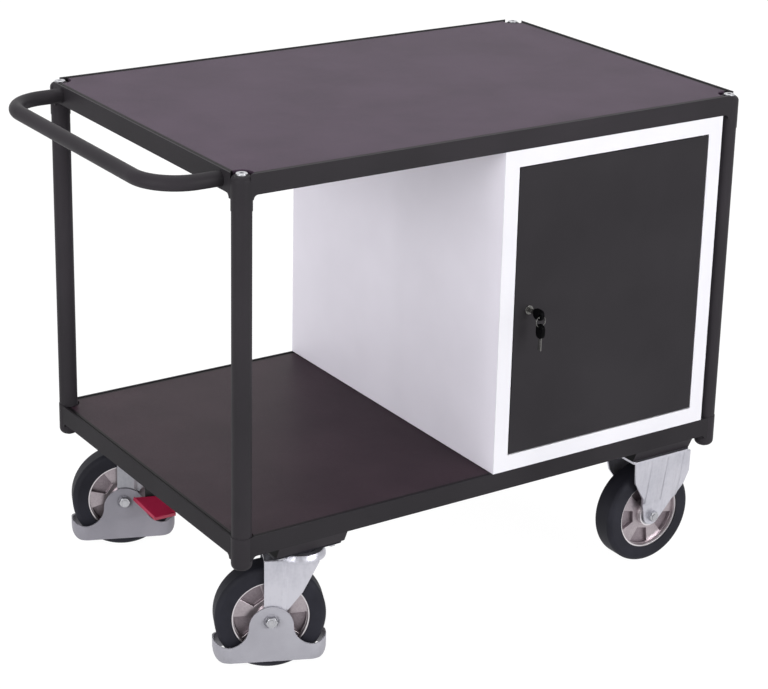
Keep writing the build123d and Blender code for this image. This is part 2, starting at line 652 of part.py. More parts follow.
def swivel_fork():
    """Crown, swivel head and two legs of the turning fork, each a strap with a gusset set back from it."""
    crown = block(-SWIVEL_TIP_R, CROWN_LEAD, -FORK_OUT, FORK_OUT, CROWN_Z, CROWN_TOP_Z)
    folded = block(-CROWN_LEAD, CROWN_LEAD, -FORK_OUT, FORK_OUT, 0, CROWN_TOP_Z)
    folded = fillet(folded.edges().filter_by(Axis.X).group_by(Axis.Z)[-1], CROWN_BEND_R)
    head = rod_z(HEAD_BASE_D, CROWN_Z, CROWN_TOP_Z, TRAIL)
    head += Pos(TRAIL, 0, CROWN_TOP_Z + HEAD_H / 2) * Cone(HEAD_BASE_D / 2, HEAD_TOP_D / 2, HEAD_H)
    tip = math.radians(FORK_TIP_ANGLE)
    leg = outline_of((-SWIVEL_TIP_R, AXLE_Z), (-SWIVEL_TIP_R, CROWN_TOP_Z), (CROWN_LEAD, CROWN_TOP_Z),
                     (CROWN_LEAD, CROWN_TOP_Z - CROWN_EDGE_H), (SWIVEL_WAIST_X, AXLE_Z + SWIVEL_WAIST_RISE),
                     (SWIVEL_TIP_R * math.cos(tip), AXLE_Z - SWIVEL_TIP_R * math.sin(tip)))
    leg += Pos(0, AXLE_Z) * Circle(SWIVEL_TIP_R)
    side = upright(leg, 0, FORK_OUT) & extrude(swivel_leg_sheet(), CROWN_TOP_Z)
    body = (crown + both_sides(side) & folded) + head
    body -= rod_z(KINGPIN_D + 2 * RUN_CLEAR, CROWN_Z, HEAD_TOP_Z, TRAIL)
    return body - axle_hole(FORK_OUT)


def foot_guard():
    """Boat-shaped skirt round the lower wheel, rising to a dome over each axle end."""
    height = GUARD_DOME_Z - GUARD_BOTTOM_Z
    plan = RectangleRounded(2 * GUARD_HALF_L, 2 * GUARD_HALF_W, GUARD_END_R)
    plan -= RectangleRounded(2 * (GUARD_HALF_L - GUARD_WALL), 2 * FORK_OUT, GUARD_END_R - GUARD_WALL)
    skirt = Pos(0, 0, GUARD_BOTTOM_Z) * extrude(plan, height)
    half = GUARD_HALF_L
    bend_z = GUARD_DOME_Z - GUARD_DOME_R
    saddle_r = GUARD_SADDLE_X - GUARD_DOME_R
    saddle_z = bend_z - saddle_r
    crest = [CenterArc((0, bend_z), GUARD_DOME_R, 0, 180),
             CenterArc((GUARD_SADDLE_X, bend_z), saddle_r, 180, 90),
             CenterArc((-GUARD_SADDLE_X, bend_z), saddle_r, 270, 90),
             TangentArc((GUARD_SADDLE_X, saddle_z), (half, GUARD_END_Z), tangent=(1, 0)),
             TangentArc((-GUARD_SADDLE_X, saddle_z), (-half, GUARD_END_Z), tangent=(-1, 0))]
    keel = FilletPolyline((half, GUARD_END_Z), (half, GUARD_BOTTOM_Z), (-half, GUARD_BOTTOM_Z),
                          (-half, GUARD_END_Z), radius=GUARD_CORNER_R)
    profile = make_face([*crest, *keel.edges()])
    body = skirt & upright(profile, -GUARD_HALF_W, GUARD_HALF_W)
    groove_y = GUARD_HALF_W - GUARD_GROOVE_DEPTH
    groove = rod_y(GUARD_GROOVE_D, groove_y, GUARD_HALF_W, 0, AXLE_Z)
    groove -= rod_y(GUARD_GROOVE_D - 2 * GUARD_GROOVE_W, groove_y, GUARD_HALF_W, 0, AXLE_Z)
    return body - both_sides(groove) - axle_hole(GUARD_HALF_W)


def brake_bracket():
    """Plate on the fork leg with two ears and the pin between them."""
    plate_out = FORK_OUT + BRACKET_T
    body = block(BRACKET_X0, BRACKET_X1, FORK_OUT - SWIVEL_STEP, plate_out, BRACKET_Z0, BRACKET_Z1)
    for x0, x1 in ((BRACKET_X0, BRACKET_X0 + BRACKET_T), (BRACKET_X1 - BRACKET_T, BRACKET_X1)):
        body += rod_x(2 * BRACKET_EAR_R, x0, x1, PIN_Y, PEDAL_PIN_Z)
        body += block(x0, x1, plate_out, PIN_Y, BRACKET_Z0, PEDAL_PIN_Z + BRACKET_EAR_R)
    return body + rod_x(PEDAL_PIN_D, BRACKET_X0, BRACKET_X1, PIN_Y, PEDAL_PIN_Z)


def brake_pedal():
    """Tread that slopes outwards above the pin, with skirts on two edges and an arm for the shoe."""
    barrel_x0 = BRACKET_X0 + BRACKET_T + PEDAL_END_GAP
    barrel_x1 = BRACKET_X1 - BRACKET_T - PEDAL_END_GAP
    tread = extrude(outline_of((PEDAL_REAR_X0, PEDAL_HEEL), (PEDAL_FRONT_X0, PEDAL_HEEL),
                               (PEDAL_FRONT_X1, PEDAL_NOSE), (PEDAL_REAR_X1, PEDAL_OUTER)), PEDAL_T)
    for x0, y0, x1, y1 in ((PEDAL_REAR_X0, PEDAL_HEEL, PEDAL_REAR_X1, PEDAL_OUTER),
                           (PEDAL_REAR_X1, PEDAL_OUTER, PEDAL_FRONT_X1, PEDAL_NOSE)):
        turn = math.degrees(math.atan2(y1 - y0, x1 - x0))
        skirt = block(0, math.hypot(x1 - x0, y1 - y0), -PEDAL_SKIRT_T, 0, PEDAL_T - PEDAL_SKIRT, PEDAL_T)
        tread += Pos(x0, y0, 0) * Rot(0, 0, turn) * skirt
    lips = [tread.edges().sort_by_distance(((PEDAL_REAR_X1 + x) / 2, (PEDAL_OUTER + y) / 2, PEDAL_T))[0]
            for x, y in ((PEDAL_REAR_X0, PEDAL_HEEL), (PEDAL_FRONT_X1, PEDAL_NOSE))]
    tread = fillet(lips, PEDAL_LIP_R)
    pin = Pos(0, PIN_Y, PEDAL_PIN_Z)
    tread = Pos(0, 0, PEDAL_LIFT) * tread
    tread += block(barrel_x0, barrel_x1, PEDAL_HEEL, PEDAL_INNER, 0, PEDAL_LIFT)
    body = pin * Rot(-PEDAL_SLOPE, 0, 0) * tread
    body += rod_x(PEDAL_BARREL_D, barrel_x0, barrel_x1, PIN_Y, PEDAL_PIN_Z)
    body -= rod_x(PEDAL_PIN_D + 2 * RUN_CLEAR, barrel_x0, barrel_x1, PIN_Y, PEDAL_PIN_Z)
    slope = math.radians(PEDAL_SLOPE)
    inner_y = PIN_Y + PEDAL_INNER * math.cos(slope) + (PEDAL_LIFT + PEDAL_T) * math.sin(slope)
    inner_z = PEDAL_PIN_Z + PEDAL_LIFT * math.cos(slope) - PEDAL_INNER * math.sin(slope)
    arm_y = TYRE_W / 2 + SHOE_GAP + SHOE_T
    bridge_top = inner_z + PEDAL_T * math.cos(slope)
    body += block(SHOE_ARM_X0, SHOE_ARM_X1, arm_y, inner_y, inner_z, bridge_top)
    return body + block(SHOE_ARM_X0, SHOE_ARM_X1, arm_y, arm_y + SHOE_ARM_T, SHOE_Z0, bridge_top)


def brake_shoe():
    """Rubber block on the pedal's arm that faces the tyre's side."""
    shoe_y = TYRE_W / 2 + SHOE_GAP
    return block(SHOE_ARM_X0, SHOE_ARM_X1, shoe_y, shoe_y + SHOE_T, SHOE_Z0, SHOE_Z0 + SHOE_H)


def inner_side(end, piece):
    """A piece drawn on the left of a castor, on the side that faces the middle of the trolley."""
    return piece if end == "front" else mirror(piece, about=Plane.XZ)


bolt_xy = bolt_places(SWIVEL_X) + bolt_places(FIXED_X)
save("castor_bolts", *[Pos(x, y, 0) * castor_bolt() for x, y in bolt_xy])
save("castor_nuts", *[Pos(x, y, 0) * castor_nut() for x, y in bolt_xy])

wheel_x = FIXED_X - FIXED_AXLE_BACK
fixed_places = {"front": Pos(wheel_x, -FIXED_Y, 0), "rear": Pos(wheel_x, FIXED_Y, 0)}
save("fixed_forks", *[place * fixed_fork() for place in fixed_places.values()])
save("fixed_axles", *[place * axle(FORK_OUT) for place in fixed_places.values()])
save("fixed_axle_nuts", *[place * nut for place in fixed_places.values() for nut in axle_nuts(FORK_OUT)])
tyre, rim, bearings = wheel(FIXED_RIM_TURN)
for end, place in fixed_places.items():
    save(f"{end}_fixed_tyre", place * tyre)
    save(f"{end}_fixed_rim", place * rim)
    save(f"{end}_fixed_bearings", *[place * bearing for bearing in bearings])

swivel_pivots = {"front": Pos(SWIVEL_X, -SWIVEL_Y, 0), "rear": Pos(SWIVEL_X, SWIVEL_Y, 0)}
to_pivot = Pos(-TRAIL, 0, 0)
save("swivel_plates", *[pivot * to_pivot * swivel_plate() for pivot in swivel_pivots.values()])
save("kingpins", *[pivot * to_pivot * kingpin() for pivot in swivel_pivots.values()])
swivel_rests = {"front": SWIVEL_REST_FRONT, "rear": SWIVEL_REST_REAR}
rim_turns = {"front": FRONT_SWIVEL_RIM_TURN, "rear": REAR_SWIVEL_RIM_TURN}
for end, pivot in swivel_pivots.items():
    place = pivot * Rot(0, 0, swivel_rests[end]) * to_pivot
    save(f"{end}_swivel_fork", place * swivel_fork())
    save(f"{end}_foot_guard", place * foot_guard())
    save(f"{end}_swivel_axle", place * axle(GUARD_HALF_W))
    save(f"{end}_swivel_axle_nuts", *[place * nut for nut in axle_nuts(GUARD_HALF_W)])
    tyre, rim, bearings = wheel(rim_turns[end])
    save(f"{end}_swivel_tyre", place * tyre)
    save(f"{end}_swivel_rim", place * rim)
    save(f"{end}_swivel_bearings", *[place * bearing for bearing in bearings])
    save(f"{end}_brake_bracket", place * inner_side(end, brake_bracket()))
    save(f"{end}_brake_pedal", place * inner_side(end, brake_pedal()))
    save(f"{end}_brake_shoe", place * inner_side(end, brake_shoe()))


# Cabinet

def cabinet_wrap():
    """Left side, back and right side, bent from one sheet."""
    body = block(CABINET_X0, CABINET_X1, FRONT_Y + SHEET_T, FACE_Y, LOWER_DECK_Z, UPPER_RAIL_Z)
    return body - block(CABINET_X0 + SHEET_T, CABINET_X1 - SHEET_T, FRONT_Y, FACE_Y - SHEET_T,
                        LOWER_DECK_Z, UPPER_RAIL_Z)


def cabinet_sheet(z0):
    """Top or bottom sheet inside the wrap."""
    return block(CABINET_X0 + SHEET_T, CABINET_X1 - SHEET_T, FRONT_Y + SHEET_T, FACE_Y - SHEET_T,
                 z0, z0 + SHEET_T)


def front_frame():
    """Border round the door with a folded return along the opening, drilled for the hinge pins."""
    back = FRONT_Y + FRAME_DEPTH
    body = block(CABINET_X0, CABINET_X1, FRONT_Y, FRONT_Y + SHEET_T, LOWER_DECK_Z, UPPER_RAIL_Z)
    body += block(OPEN_X0 - SHEET_T, OPEN_X1 + SHEET_T, FRONT_Y, back, OPEN_Z0 - SHEET_T, OPEN_Z1 + SHEET_T)
    body -= block(OPEN_X0, OPEN_X1, FRONT_Y, back, OPEN_Z0, OPEN_Z1)
    return body - rod_z(HINGE_PIN_D, LOWER_DECK_Z, UPPER_RAIL_Z, HINGE_X, HINGE_Y)


def hinge_pins():
    """Headed pins through the frame's returns into the door's folded edges."""
    upper = rod_z(HINGE_PIN_D, OPEN_Z1 + SHEET_T - HINGE_PIN_L, OPEN_Z1 + SHEET_T, HINGE_X, HINGE_Y)
    upper += rod_z(HINGE_HEAD_D, OPEN_Z1 + SHEET_T, OPEN_Z1 + SHEET_T + HINGE_HEAD_T, HINGE_X, HINGE_Y)
    lower = rod_z(HINGE_PIN_D, OPEN_Z0 - SHEET_T, OPEN_Z0 - SHEET_T + HINGE_PIN_L, HINGE_X, HINGE_Y)
    lower += rod_z(HINGE_HEAD_D, OPEN_Z0 - SHEET_T - HINGE_HEAD_T, OPEN_Z0 - SHEET_T, HINGE_X, HINGE_Y)
    return upper, lower


def door():
    """Folded door pan with holes for the hinge pins and the lock."""
    body = block(DOOR_X0, DOOR_X1, FRONT_Y, FRONT_Y + DOOR_DEPTH, DOOR_Z0, DOOR_Z1)
    body -= block(DOOR_X0 + SHEET_T, DOOR_X1 - SHEET_T, FRONT_Y + SHEET_T, FRONT_Y + DOOR_DEPTH,
                  DOOR_Z0 + SHEET_T, DOOR_Z1 - SHEET_T)
    body -= rod_z(HINGE_PIN_D + 2 * RUN_CLEAR, DOOR_Z0, DOOR_Z1, HINGE_X, HINGE_Y)
    return body - rod_y(LOCK_BARREL_D, FRONT_Y, FRONT_Y + SHEET_T, LOCK_X, LOCK_Z)


def lock_barrel():
    """Barrel through the door with a flange on its face."""
    front = FRONT_Y - LOCK_FLANGE_T
    back = FRONT_Y + LOCK_BARREL_L
    body = rod_y(LOCK_FLANGE_D, front, FRONT_Y, LOCK_X, LOCK_Z)
    body += rod_y(LOCK_BARREL_D, FRONT_Y, back, LOCK_X, LOCK_Z)
    return body - rod_y(LOCK_PLUG_D + 2 * RUN_CLEAR, front, back, LOCK_X, LOCK_Z)


def lock_plug():
    """Turning plug with its keyway."""
    slot_t = KEY_BLADE_T / 2 + KEY_SLOT_CLEAR
    slot_w = KEY_BLADE_W / 2 + KEY_SLOT_CLEAR
    body = rod_y(LOCK_PLUG_D, PLUG_FRONT_Y, CAM_Y, LOCK_X, LOCK_Z)
    return body - block(LOCK_X - slot_t, LOCK_X + slot_t, PLUG_FRONT_Y, FRONT_Y + KEY_BLADE_IN,
                        LOCK_Z - slot_w, LOCK_Z + slot_w)


def lock_cam():
    """Cam behind the plug, pointing down while the door is free."""
    half = CAM_W / 2
    body = block(LOCK_X - half, LOCK_X + half, CAM_Y, CAM_Y + CAM_T, LOCK_Z - CAM_REACH, LOCK_Z)
    return body + rod_y(CAM_W, CAM_Y, CAM_Y + CAM_T, LOCK_X, LOCK_Z)


def key_head():
    """Rounded plastic head that stands on its neck at the origin, with a ring hole near its top."""
    outline = RectangleRounded(KEY_HEAD_W, KEY_HEAD_L, KEY_HEAD_R)
    outline -= Pos(0, KEY_HEAD_L / 2 - KEY_HOLE_INSET) * Circle(KEY_HOLE_D / 2)
    body = Rot(0, 0, 90) * upright(outline, -KEY_HEAD_T / 2, KEY_HEAD_T / 2)
    body = Pos(0, 0, KEY_HEAD_L / 2) * body
    return body - key_blade(0)


def key_blade(length):
    """Flat steel blade that hangs below a key head and reaches into it."""
    half_t = KEY_BLADE_T / 2
    half_w = KEY_BLADE_W / 2
    return block(-half_t, half_t, -half_w, half_w, -length, KEY_HEAD_GRIP)


in_lock = Pos(LOCK_X, KEY_HEAD_Y, LOCK_Z) * Rot(90, 0, 0)
on_ring = Pos(LOCK_X, KEY_HOLE_Y, SPARE_HOLE_Z - KEY_HEAD_L + KEY_HOLE_INSET)
save("cabinet_wrap", cabinet_wrap())
save("cabinet_top", cabinet_sheet(UPPER_RAIL_Z - SHEET_T))
save("cabinet_bottom", cabinet_sheet(LOWER_DECK_Z))
save("cabinet_front_frame", front_frame())
save("hinge_pins", *hinge_pins())
save("door", door())
save("lock_barrel", lock_barrel())
save("lock_plug", lock_plug())
save("lock_cam", lock_cam())
save("lock_key_head", in_lock * key_head())
save("lock_key_blade", in_lock * key_blade(KEY_NECK + KEY_BLADE_IN))
ring = Rot(90, 0, 0) * Torus(RING_D / 2, RING_WIRE_D / 2)
save("key_ring", Pos(LOCK_X, KEY_HOLE_Y, RING_PIVOT_Z - RING_D / 2) * ring)
save("spare_key_head", on_ring * key_head())
save("spare_key_blade", on_ring * key_blade(KEY_NECK + KEY_BLADE_IN))
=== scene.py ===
import json
import math

import bpy
from mathutils import Matrix, Vector

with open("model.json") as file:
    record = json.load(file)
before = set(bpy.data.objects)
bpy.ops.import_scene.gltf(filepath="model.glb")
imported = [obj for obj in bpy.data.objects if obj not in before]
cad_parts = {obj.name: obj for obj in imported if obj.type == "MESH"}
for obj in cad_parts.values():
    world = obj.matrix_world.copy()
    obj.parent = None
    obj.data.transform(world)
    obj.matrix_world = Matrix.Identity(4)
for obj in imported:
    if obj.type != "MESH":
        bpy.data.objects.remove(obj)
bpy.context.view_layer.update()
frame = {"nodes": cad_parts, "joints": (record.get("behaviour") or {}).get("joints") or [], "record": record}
nodes = frame["nodes"]


# Surface values: metres, and texture scales per metre of the part

COARSE_DEPTH = 0.0004
FINE_DEPTH = 0.0002
GRAIN_SPAN = (0.3, 0.7)
METAL = 0.88

PEEL_SCALE = 750.0
PEEL_SHARE = 0.35
PEEL_BUMP = 0.22
COAT_CLOUD_SCALE = 5.0
COAT_ROUGH = 0.46
SATIN_ROUGH = 0.5

# Width and fade of the painted seam shade along the deck boards' edges
SEAM_SHADE_W = 0.006
SEAM_SHADE_FADE = 0.001
BLOTCH_SCALE = 9.0
SPECK_SCALE = 420.0
SPECK_TINT = 0.6
MESH_SCALE = 190.0
MESH_BUMP = 0.25
FILM_GRAIN_SCALE = 1500.0

STREAK_SCALE = 230.0
STREAK_STRETCH = (1.0, 1.0, 0.12)
STREAK_BUMP = 0.06
SPANGLE_SCALE = 160.0
SPANGLE_SHARE = 0.2
ZINC_CLOUD_SCALE = 11.0

RIM_PAD_HALF = 0.015
RIM_WEB_HALF = 0.007
LIP_START = 0.002
LIP_END = 0.004
CAST_GRAIN_SCALE = 320.0
CAST_CLOUD_SCALE = 30.0
CAST_BUMP = 0.1
CAST_ROUGH = 0.5
TURNED_ROUGH = 0.3

PLASTIC_CLOUD_SCALE = 14.0


# Colours and node helpers

def linear(red, green, blue):
    """Scene colour of an 8-bit display colour, by the sRGB curve."""
    out = []
    for value in (red, green, blue):
        c = value / 255
        out.append(c / 12.92 if c <= 0.04045 else ((c + 0.055) / 1.055) ** 2.4)
    return (*out, 1.0)


class Paint:
    """A node material around one Principled shader, laid out in the part's own coordinates."""

    def __init__(self, name, rough, metallic=0.0, specular=0.5):
        self.material = bpy.data.materials.new(name)
        self.material.use_nodes = True
        self.tree = self.material.node_tree
        self.shader = self.tree.nodes["Principled BSDF"]
        self.shader.inputs["Roughness"].default_value = rough
        self.shader.inputs["Metallic"].default_value = metallic
        self.shader.inputs["Specular IOR Level"].default_value = specular
        self.coords = self.node("ShaderNodeTexCoord").outputs
        self.place = self.coords["Object"]

    def node(self, kind, **settings):
        made = self.tree.nodes.new(kind)
        for key, value in settings.items():
            setattr(made, key, value)
        return made

    def link(self, out, into):
        self.tree.links.new(out, into)

    def stretch(self, scale):
        """The part's coordinates, scaled along its axes."""
        made = self.node("ShaderNodeMapping")
        made.inputs["Scale"].default_value = scale
        self.link(self.place, made.inputs["Vector"])
        return made.outputs["Vector"]

    def axes(self, vector):
        """The X, Y and Z outputs of a vector."""
        made = self.node("ShaderNodeSeparateXYZ")
        self.link(vector, made.inputs["Vector"])
        return made.outputs

    def noise(self, scale, detail=2.0, rough=0.5, vector=None):
        made = self.node("ShaderNodeTexNoise")
        made.inputs["Scale"].default_value = scale
        made.inputs["Detail"].default_value = detail
        made.inputs["Roughness"].default_value = rough
        self.link(vector or self.place, made.inputs["Vector"])
        return made.outputs["Fac"]

    def cells(self, scale):
        made = self.node("ShaderNodeTexVoronoi")
        made.inputs["Scale"].default_value = scale
        self.link(self.place, made.inputs["Vector"])
        return made.outputs["Distance"]

    def waves(self, scale, direction):
        made = self.node("ShaderNodeTexWave", bands_direction=direction)
        made.inputs["Scale"].default_value = scale
        self.link(self.place, made.inputs["Vector"])
        return made.outputs["Fac"]

    def span(self, value, low, high, to_low=0.0, to_high=1.0):
        """A value's range from low to high, mapped to another range."""
        made = self.node("ShaderNodeMapRange")
        for key, number in zip(("From Min", "From Max", "To Min", "To Max"), (low, high, to_low, to_high)):
            made.inputs[key].default_value = number
        self.link(value, made.inputs["Value"])
        return made.outputs["Result"]

    def calc(self, operation, first, second=0.0):
        """Math node on numbers or node outputs."""
        made = self.node("ShaderNodeMath", operation=operation)
        for value, socket in zip((first, second), made.inputs):
            if isinstance(value, (int, float)):
                socket.default_value = value
            else:
                self.link(value, socket)
        return made.outputs["Value"]

    def plus(self, first, second, share=1.0):
        """The first value and a share of the second."""
        return self.calc("ADD", first, second if share == 1.0 else self.calc("MULTIPLY", second, share))

    def blend(self, factor, first, second):
        """Mix of two colours, each a tuple or a node's output."""
        made = self.node("ShaderNodeMix", data_type="RGBA")
        colours = [socket for socket in made.inputs if socket.type == "RGBA"]
        self.link(factor, made.inputs["Factor"])
        for value, socket in zip((first, second), colours):
            if isinstance(value, tuple):
                socket.default_value = value
            else:
                self.link(value, socket)
        return next(socket for socket in made.outputs if socket.type == "RGBA")

    def colour(self, out):
        self.link(out, self.shader.inputs["Base Color"])

    def rough(self, out):
        self.link(out, self.shader.inputs["Roughness"])

    def uneven(self, grain, rough, less, more):
        """Roughness that a grain varies round a value."""
        self.rough(self.span(grain, *GRAIN_SPAN, rough - less, rough + more))

    def bump(self, height, strength, distance):
        made = self.node("ShaderNodeBump")
        made.inputs["Strength"].default_value = strength
        made.inputs["Distance"].default_value = distance
        self.link(height, made.inputs["Height"])
        self.link(made.outputs["Normal"], self.shader.inputs["Normal"])


# Materials

def sprayed(p, dark, light):
    """Orange peel of sprayed powder, raised in the bump, and the slightly cloudy colour over it."""
    peel = p.noise(PEEL_SCALE, rough=0.6)
    cloud = p.noise(COAT_CLOUD_SCALE, detail=3.0)
    p.bump(peel, PEEL_BUMP, COARSE_DEPTH)
    return peel, p.blend(p.span(p.plus(cloud, peel, PEEL_SHARE), 0.5, 0.85), dark, light)


def powder_coat(name, dark, light, rough=COAT_ROUGH, specular=0.5):
    """Sprayed powder: fine orange peel and a slight cloudiness."""
    p = Paint(name, rough, specular=specular)
    peel, coat = sprayed(p, dark, light)
    p.colour(coat)
    p.uneven(peel, rough, less=0.05, more=0.07)
    return p.material


def trough_paint(name, dark, light, shade):
    """Coat on the cross members, with painted shade: their walls towards the handle (facing -X) are darkened
    to near black.
    """
    p = Paint(name, SATIN_ROUGH, specular=0.06)
    coat = sprayed(p, dark, light)[1]
    # Painted shade on the walls facing -X, chosen by the surface normal
    facing = p.axes(p.coords["Normal"])["X"]
    p.colour(p.blend(p.span(facing, -0.9, -0.5), shade, coat))
    return p.material


def deck_film(name, board, dark, light, tint, rough, specular):
    """Phenolic film on plywood: a fine pressed mesh, blotches and a near-black band along the board's edge,
    painted shade of the seam where the board meets the rails.
    """
    p = Paint(name, rough, specular=specular)
    place = p.axes(p.place)
    past = []
    for axis, reach in zip("XY", zip(*nodes[board].bound_box)):
        middle, half = (max(reach) + min(reach)) / 2, (max(reach) - min(reach)) / 2
        off = p.calc("ABSOLUTE", p.calc("SUBTRACT", place[axis], middle))
        past.append(p.calc("SUBTRACT", off, half))
    # Painted shade: a near-black band along the board's edge stands in for the shade in the seam
    seam_shade = p.span(p.calc("MAXIMUM", *past), -SEAM_SHADE_W, SEAM_SHADE_FADE - SEAM_SHADE_W)
    blotch = p.noise(BLOTCH_SCALE, detail=4.0, rough=0.6)
    speck = p.noise(SPECK_SCALE, rough=0.7)
    fine = p.noise(FILM_GRAIN_SCALE, detail=1.0)
    base = p.blend(p.span(blotch, 0.35, 0.65), dark, light)
    film = p.blend(p.span(speck, 0.45, 0.75, to_high=SPECK_TINT), base, tint)
    p.colour(p.blend(seam_shade, film, linear(20, 17, 20)))
    mesh = p.calc("MULTIPLY", p.waves(MESH_SCALE, "X"), p.waves(MESH_SCALE, "Y"))
    p.uneven(speck, rough, less=0.06, more=0.08)
    p.bump(p.plus(mesh, fine, share=0.5), MESH_BUMP, COARSE_DEPTH)
    return p.material


def zinc(name, dark, light, rough):
    """Zinc plating: faint spangle, upright streaks of the rolled sheet and a bluish passivation."""
    p = Paint(name, rough, metallic=METAL)
    streak = p.noise(STREAK_SCALE, rough=0.6, vector=p.stretch(STREAK_STRETCH))
    cloud = p.noise(ZINC_CLOUD_SCALE)
    mixed = p.plus(p.plus(cloud, streak, share=0.5), p.cells(SPANGLE_SCALE), SPANGLE_SHARE)
    p.colour(p.blend(p.span(mixed, 0.5, 1.0), dark, light))
    p.uneven(streak, rough, less=0.05, more=0.05)
    p.bump(streak, STREAK_BUMP, FINE_DEPTH)
    return p.material


def cast_wheel(name, middle, axis):
    """Cast aluminium: a bright turned lip, duller spoke faces and darker raw casting in the pockets, darker
    also as painted shade in the recesses.
    """
    p = Paint(name, CAST_ROUGH, metallic=METAL)
    offset = p.node("ShaderNodeVectorMath", operation="SUBTRACT")
    offset.inputs[1].default_value = middle
    p.link(p.place, offset.inputs[0])
    along = p.node("ShaderNodeVectorMath", operation="DOT_PRODUCT")
    along.inputs[1].default_value = axis
    p.link(offset.outputs["Vector"], along.inputs[0])
    depth = p.calc("ABSOLUTE", along.outputs["Value"])
    step = RIM_PAD_HALF - RIM_WEB_HALF
    turned = p.span(depth, RIM_WEB_HALF + 0.3 * step, RIM_PAD_HALF - 0.1 * step)
    lip = p.span(depth, RIM_PAD_HALF + LIP_START, RIM_PAD_HALF + LIP_END)
    grain = p.noise(CAST_GRAIN_SCALE, detail=3.0, rough=0.6)
    mottle = p.span(p.plus(grain, p.noise(CAST_CLOUD_SCALE)), 0.7, 1.3)
    # Pocket colour: raw casting, darkened further as painted shade in the recesses
    raw_cast_and_shade = p.blend(mottle, linear(126, 116, 122), linear(150, 140, 145))
    face = p.blend(mottle, linear(150, 141, 146), linear(172, 163, 167))
    p.colour(p.blend(lip, p.blend(turned, raw_cast_and_shade, face), linear(214, 209, 212)))
    p.rough(p.span(turned, 0.0, 1.0, CAST_ROUGH, TURNED_ROUGH))
    p.bump(grain, CAST_BUMP, FINE_DEPTH)
    return p.material


def plastic(name, dark, light, rough, grain=900.0, bump=0.25, specular=0.5):
    """Moulded plastic or rubber with a fine eroded texture."""
    p = Paint(name, rough, specular=specular)
    cloud = p.noise(PLASTIC_CLOUD_SCALE, detail=3.0)
    fine = p.noise(grain, rough=0.6)
    p.colour(p.blend(p.span(p.plus(cloud, fine, share=0.3), 0.5, 0.8), dark, light))
    p.uneven(fine, rough, less=0.06, more=0.08)
    p.bump(fine, bump, COARSE_DEPTH)
    return p.material


# Finish of each material slot, and of the nodes that differ from their slot, several of them darker copies
# as painted shade

FINISH = {
    "frame_paint": powder_coat("anthracite", linear(43, 41, 44), linear(49, 46, 50), specular=0.06),
    # Lower rails: the same anthracite coat, darker as painted shade near the floor
    "lower_long_rails": powder_coat("anthracite_low_long_painted_shade", linear(38, 36, 39), linear(44, 42, 45),
                                    specular=0.06),
    "lower_short_rails": powder_coat("anthracite_low_short_painted_shade", linear(36, 34, 37), linear(42, 40, 43),
                                     specular=0.04),
    # Cross members: anthracite coat with painted shade on the walls facing the handle
    "cross_members": trough_paint("anthracite_trough_painted_shade", linear(43, 41, 44), linear(49, 46, 50),
                                  shade=linear(6, 6, 8)),
    "door_paint": powder_coat("anthracite_door", linear(42, 40, 43), linear(47, 45, 48), specular=0.06),
    "cabinet_grey": powder_coat("light_grey_sheet", linear(224, 220, 231), linear(231, 227, 238),
                                SATIN_ROUGH),
    "cabinet_white": powder_coat("white_sheet", linear(214, 213, 219), linear(220, 219, 225), SATIN_ROUGH),
    "top_deck": deck_film("deck_film_top", "top_board", linear(63, 50, 64), linear(71, 57, 72),
                          linear(80, 68, 80), rough=0.5, specular=0.08),
    # Lower deck: the same film as the top deck, darker as painted shade under the top deck
    "lower_deck": deck_film("deck_film_lower_painted_shade", "lower_board", linear(45, 31, 39), linear(53, 38, 46),
                            linear(59, 44, 52), rough=0.36, specular=0.06),
    "zinc_sheet": zinc("zinc_sheet", linear(172, 172, 181), linear(193, 192, 200), 0.38),
    "zinc_fastener": zinc("zinc_fastener", linear(156, 156, 161), linear(180, 180, 184), 0.3),
    # Rear swivel fork: the same zinc sheet, darker as painted shade under the deck
    "rear_swivel_fork": zinc("zinc_sheet_rear_painted_shade", linear(132, 132, 139), linear(152, 152, 158), 0.38),
    # Swivel plates: zinc painted near black as shade under the cross members
    "swivel_plates": zinc("zinc_painted_shade", linear(26, 26, 30), linear(38, 37, 42), 0.4),
    "bearing_steel": zinc("bearing_steel", linear(150, 150, 155), linear(180, 180, 184), 0.3),
    "key_nickel": zinc("nickel", linear(88, 87, 86), linear(108, 107, 105), 0.22),
    "guard_grey": plastic("guard_plastic", linear(142, 141, 149), linear(153, 152, 160), 0.5),
    # Rear foot guard: the same plastic, darker as painted shade under the deck
    "rear_foot_guard": plastic("guard_plastic_rear_painted_shade", linear(125, 123, 132), linear(135, 133, 142), 0.5),
    "pedal_red": plastic("pedal_red", linear(146, 20, 54), linear(164, 28, 66), 0.4, grain=500.0,
                         bump=0.12),
    "black_steel": powder_coat("black_steel", linear(20, 20, 22), linear(28, 28, 30)),
    "brake_rubber": plastic("brake_rubber", linear(22, 22, 24), linear(30, 30, 33), 0.7, grain=600.0,
                            bump=0.4),
    "tyre": plastic("tyre_rubber", linear(26, 26, 33), linear(35, 35, 43), 0.62, grain=700.0, bump=0.35,
                    specular=0.15),
    "key_black": plastic("key_plastic", linear(2, 2, 3), linear(6, 6, 7), 0.5, bump=0.2, specular=0.03),
}
for joint in frame["joints"]:
    if joint["name"].endswith("_wheel_spin"):
        wheel = joint["child"].removesuffix("_wheel")
        FINISH[wheel + "_rim"] = cast_wheel("cast_" + wheel, joint["pos_m"], joint["axis"])
for part in frame["record"]["subparts"]:
    node = nodes[part["node"]]
    node.data.materials.clear()
    node.data.materials.append(FINISH.get(part["node"]) or FINISH[part["material_slot"]])


# Edges: each sheet, casting and moulding keeps its shape and gets the small round of its real edges

